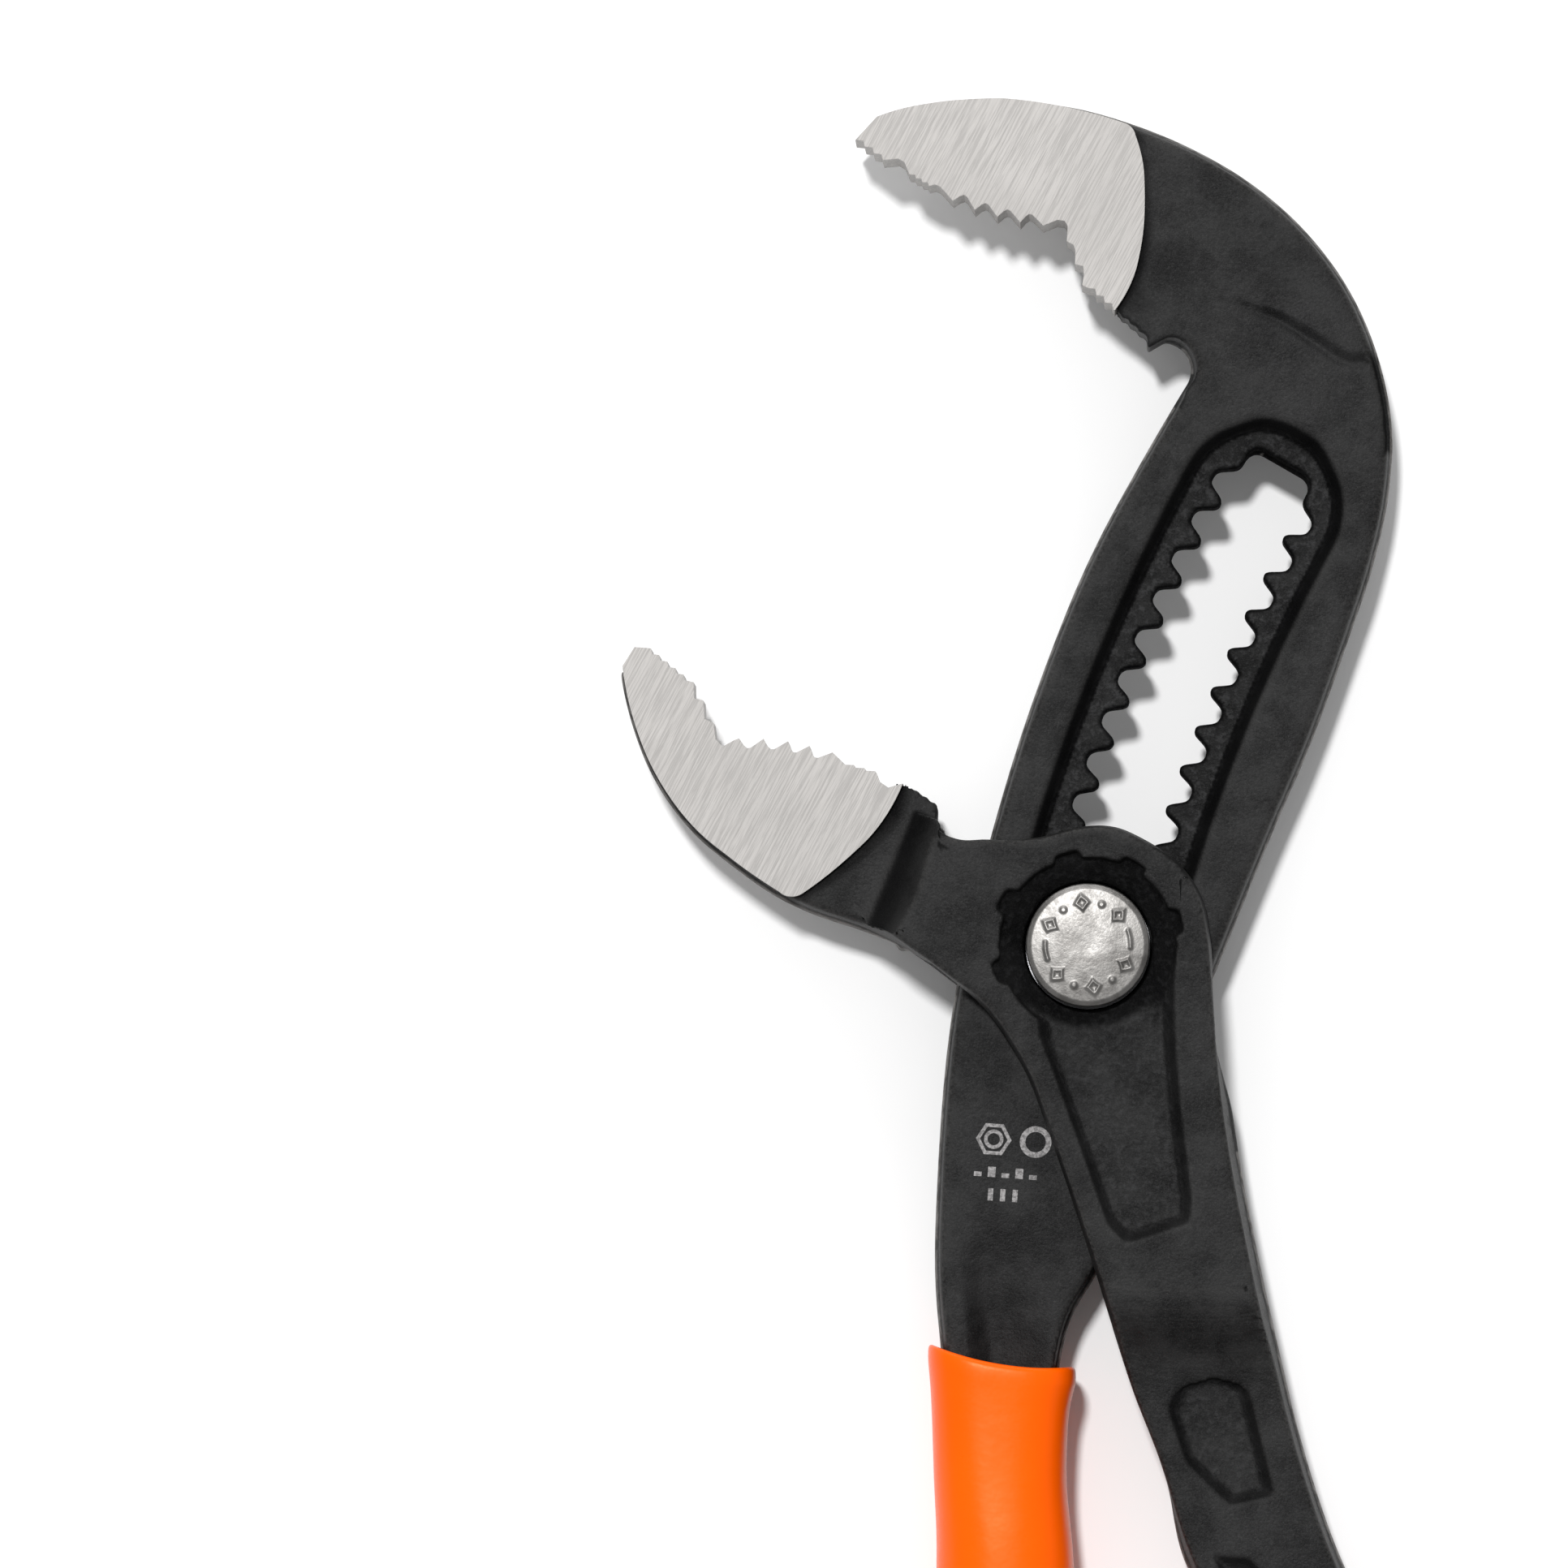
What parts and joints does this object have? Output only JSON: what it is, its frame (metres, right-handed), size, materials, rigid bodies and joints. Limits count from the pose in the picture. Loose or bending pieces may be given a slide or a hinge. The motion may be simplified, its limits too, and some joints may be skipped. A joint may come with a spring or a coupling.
{
  "type": "tongue and groove pliers",
  "caption": "Box-joint tongue and groove pliers with a push-button lock pin, toothed slot, curved gripping jaws and dipped handle grips.",
  "frame": {"origin": "on the pivot axis, at the flush back face of the joint (the lock pin's back face)", "axes": "+Y up the slot towards the jaws, +X away from the jaws' mouth, +Z out of the button side, along the pin"},
  "size_m": [0.0947, 0.28, 0.0176],
  "materials": {
    "black_forging": "matt black phosphate on forged steel",
    "grip": "glossy dipped vinyl",
    "ground_steel": "ground bright steel, as on the jaw faces and the lock pin",
    "button_steel": "pressed and polished steel",
    "spring_steel": "plain spring steel"
  },
  "bodies": {
    "slotted_arm": {"slotted_arm": "black_forging", "slotted_arm_grip": "grip"},
    "pivot_seat": {"spring_washer": "spring_steel", "button_spring": "spring_steel"},
    "button_arm": {"button_arm": "black_forging", "button_arm_grip": "grip"},
    "lock_pin": {"lock_pin": "ground_steel", "button_cap": "button_steel", "pin_retaining_ring": "spring_steel"}
  },
  "joints": [
    {"name": "slot_travel", "type": "hinge", "parent": "slotted_arm", "child": "pivot_seat", "pos_m": [0.1785, -0.0449, 0], "axis": [0, 0, -1], "range_deg": [-1.31, 6.56]},
    {"name": "jaw_pivot", "type": "hinge", "parent": "pivot_seat", "child": "button_arm", "pos_m": [0, 0, 0], "axis": [0, 0, 1], "range_deg": [-5, 15]},
    {"name": "button_press", "type": "slide", "parent": "pivot_seat", "child": "lock_pin", "axis": [0, 0, -1], "range_m": [0, 0.0031], "stiffness_N_per_m": 2000, "springref_m": -0.0015, "deforming": ["button_spring"]}
  ]
}
